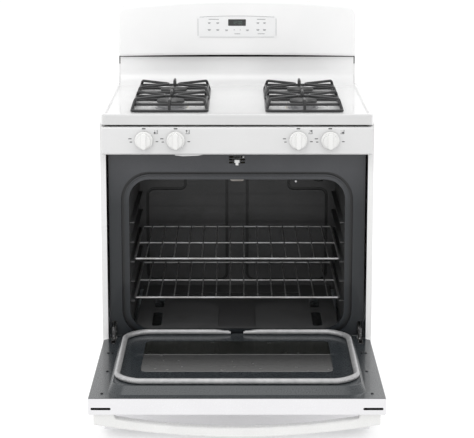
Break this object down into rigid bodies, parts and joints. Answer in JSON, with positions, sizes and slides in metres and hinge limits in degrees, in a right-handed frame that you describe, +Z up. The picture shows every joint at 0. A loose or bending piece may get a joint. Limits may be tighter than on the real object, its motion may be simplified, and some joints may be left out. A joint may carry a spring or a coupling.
{
  "type": "freestanding gas range",
  "caption": "Freestanding gas range with sealed burners under lift-off grates, a drop-down oven door, sliding oven racks, push-to-turn knobs and a storage drawer.",
  "frame": {"origin": "on the floor, under the middle of the whole range with its oven door open", "axes": "+Z up, -Y is the front, where the door opens, +X is to the right of a person facing the front"},
  "size_m": [0.759, 1.15, 1.19],
  "materials": {
    "white_enamel": "gloss",
    "dark_enamel": "semi-gloss",
    "white_plastic": "gloss",
    "black_plastic": "matte",
    "overlay_film": "satin",
    "display_lens": "gloss",
    "grate_enamel": "satin",
    "burner_iron": "matte",
    "burner_aluminium": "cast",
    "chrome_wire": "polished",
    "galvanised_steel": "zinc",
    "bare_steel": "rolled",
    "brass": "machined",
    "gasket_mesh": "woven",
    "mineral_wool": "fibrous",
    "clear_glass": "gloss",
    "dark_glass": "gloss",
    "ceramic": "gloss"
  },
  "bodies": {
    "cabinet": {"side_panel_left": "white_enamel", "side_panel_right": "white_enamel", "base_frame": "galvanised_steel", "levelling_legs": "black_plastic", "rear_panel": "galvanised_steel", "body_screws": "bare_steel", "oven_front_frame": "dark_enamel", "oven_wrapper": "dark_enamel", "oven_back_wall": "dark_enamel", "oven_bottom_panel": "dark_enamel", "oven_insulation": "mineral_wool", "burner_box": "galvanised_steel", "bake_burner": "bare_steel", "broil_burner": "bare_steel", "oven_lamp": "clear_glass", "temperature_sensor": "bare_steel", "rack_guides": "dark_enamel", "hinge_arms": "bare_steel", "door_switch": "black_plastic", "drawer_rails": "galvanised_steel", "control_panel": "white_enamel", "burner_valves": "brass", "gas_manifold": "bare_steel", "gas_pipes": "burner_aluminium", "pressure_regulator": "burner_aluminium", "power_gland": "black_plastic", "cooktop": "white_enamel", "burner_heads": "burner_aluminium", "burner_caps": "burner_iron", "spark_electrodes": "ceramic", "backguard": "white_enamel", "backguard_cover": "galvanised_steel", "control_overlay": "overlay_film", "display_window": "display_lens"},
    "door": {"door_skin": "white_enamel", "door_outer_glass": "dark_glass", "door_liner": "dark_enamel", "door_inner_glass": "clear_glass", "door_insulation": "mineral_wool", "door_gasket": "gasket_mesh", "door_handle": "white_plastic", "door_hinges": "bare_steel", "door_screws": "bare_steel"},
    "drawer": {"drawer_front": "white_enamel", "drawer_pan": "galvanised_steel"},
    "rack_lower": {"oven_rack_lower": "chrome_wire"},
    "rack_upper": {"oven_rack_upper": "chrome_wire"},
    "switch_plunger": {"door_switch_plunger": "white_plastic"},
    "stem_1": {"valve_stem_1": "brass"},
    "knob_body_1": {"knob_1": "white_plastic"},
    "stem_2": {"valve_stem_2": "brass"},
    "knob_body_2": {"knob_2": "white_plastic"},
    "stem_3": {"valve_stem_3": "brass"},
    "knob_body_3": {"knob_3": "white_plastic"},
    "stem_4": {"valve_stem_4": "brass"},
    "knob_body_4": {"knob_4": "white_plastic"},
    "grate_front_left_body": {"grate_front_left": "grate_enamel"},
    "grate_front_right_body": {"grate_front_right": "grate_enamel"},
    "grate_rear_left_body": {"grate_rear_left": "grate_enamel"},
    "grate_rear_right_body": {"grate_rear_right": "grate_enamel"}
  },
  "joints": [
    {"name": "door_hinge", "type": "hinge", "parent": "cabinet", "child": "door", "pos_m": [0, -0.051, 0.279], "axis": [1, 0, 0], "range_deg": [-90, 0]},
    {"name": "drawer_slide", "type": "slide", "parent": "cabinet", "child": "drawer", "axis": [0, -1, 0], "range_m": [0, 0.37]},
    {"name": "lower_rack_slide", "type": "slide", "parent": "cabinet", "child": "rack_lower", "axis": [0, -1, 0], "range_m": [0, 0.3]},
    {"name": "upper_rack_slide", "type": "slide", "parent": "cabinet", "child": "rack_upper", "axis": [0, -1, 0], "range_m": [0, 0.3]},
    {"name": "switch_push", "type": "slide", "parent": "cabinet", "child": "switch_plunger", "axis": [0, 1, 0], "range_m": [0, 0.006], "stiffness_N_per_m": 200},
    {"name": "knob_1_turn", "type": "hinge", "parent": "cabinet", "child": "stem_1", "pos_m": [-0.256, -0.078, 0.856], "axis": [0, -1, 0], "range_deg": [0, 270]},
    {"name": "knob_1_push", "type": "slide", "parent": "stem_1", "child": "knob_body_1", "axis": [0, 1, 0], "range_m": [0, 0.003], "stiffness_N_per_m": 500},
    {"name": "knob_2_turn", "type": "hinge", "parent": "cabinet", "child": "stem_2", "pos_m": [-0.1685, -0.078, 0.856], "axis": [0, -1, 0], "range_deg": [0, 270]},
    {"name": "knob_2_push", "type": "slide", "parent": "stem_2", "child": "knob_body_2", "axis": [0, 1, 0], "range_m": [0, 0.003], "stiffness_N_per_m": 500},
    {"name": "knob_3_turn", "type": "hinge", "parent": "cabinet", "child": "stem_3", "pos_m": [0.1685, -0.078, 0.856], "axis": [0, -1, 0], "range_deg": [0, 270]},
    {"name": "knob_3_push", "type": "slide", "parent": "stem_3", "child": "knob_body_3", "axis": [0, 1, 0], "range_m": [0, 0.003], "stiffness_N_per_m": 500},
    {"name": "knob_4_turn", "type": "hinge", "parent": "cabinet", "child": "stem_4", "pos_m": [0.256, -0.078, 0.856], "axis": [0, -1, 0], "range_deg": [0, 270]},
    {"name": "knob_4_push", "type": "slide", "parent": "stem_4", "child": "knob_body_4", "axis": [0, 1, 0], "range_m": [0, 0.003], "stiffness_N_per_m": 500},
    {"name": "grate_front_left_lift", "type": "slide", "parent": "cabinet", "child": "grate_front_left_body", "axis": [0, 0, 1], "range_m": [0, 0.12]},
    {"name": "grate_front_right_lift", "type": "slide", "parent": "cabinet", "child": "grate_front_right_body", "axis": [0, 0, 1], "range_m": [0, 0.12]},
    {"name": "grate_rear_left_lift", "type": "slide", "parent": "cabinet", "child": "grate_rear_left_body", "axis": [0, 0, 1], "range_m": [0, 0.12]},
    {"name": "grate_rear_right_lift", "type": "slide", "parent": "cabinet", "child": "grate_rear_right_body", "axis": [0, 0, 1], "range_m": [0, 0.12]}
  ]
}
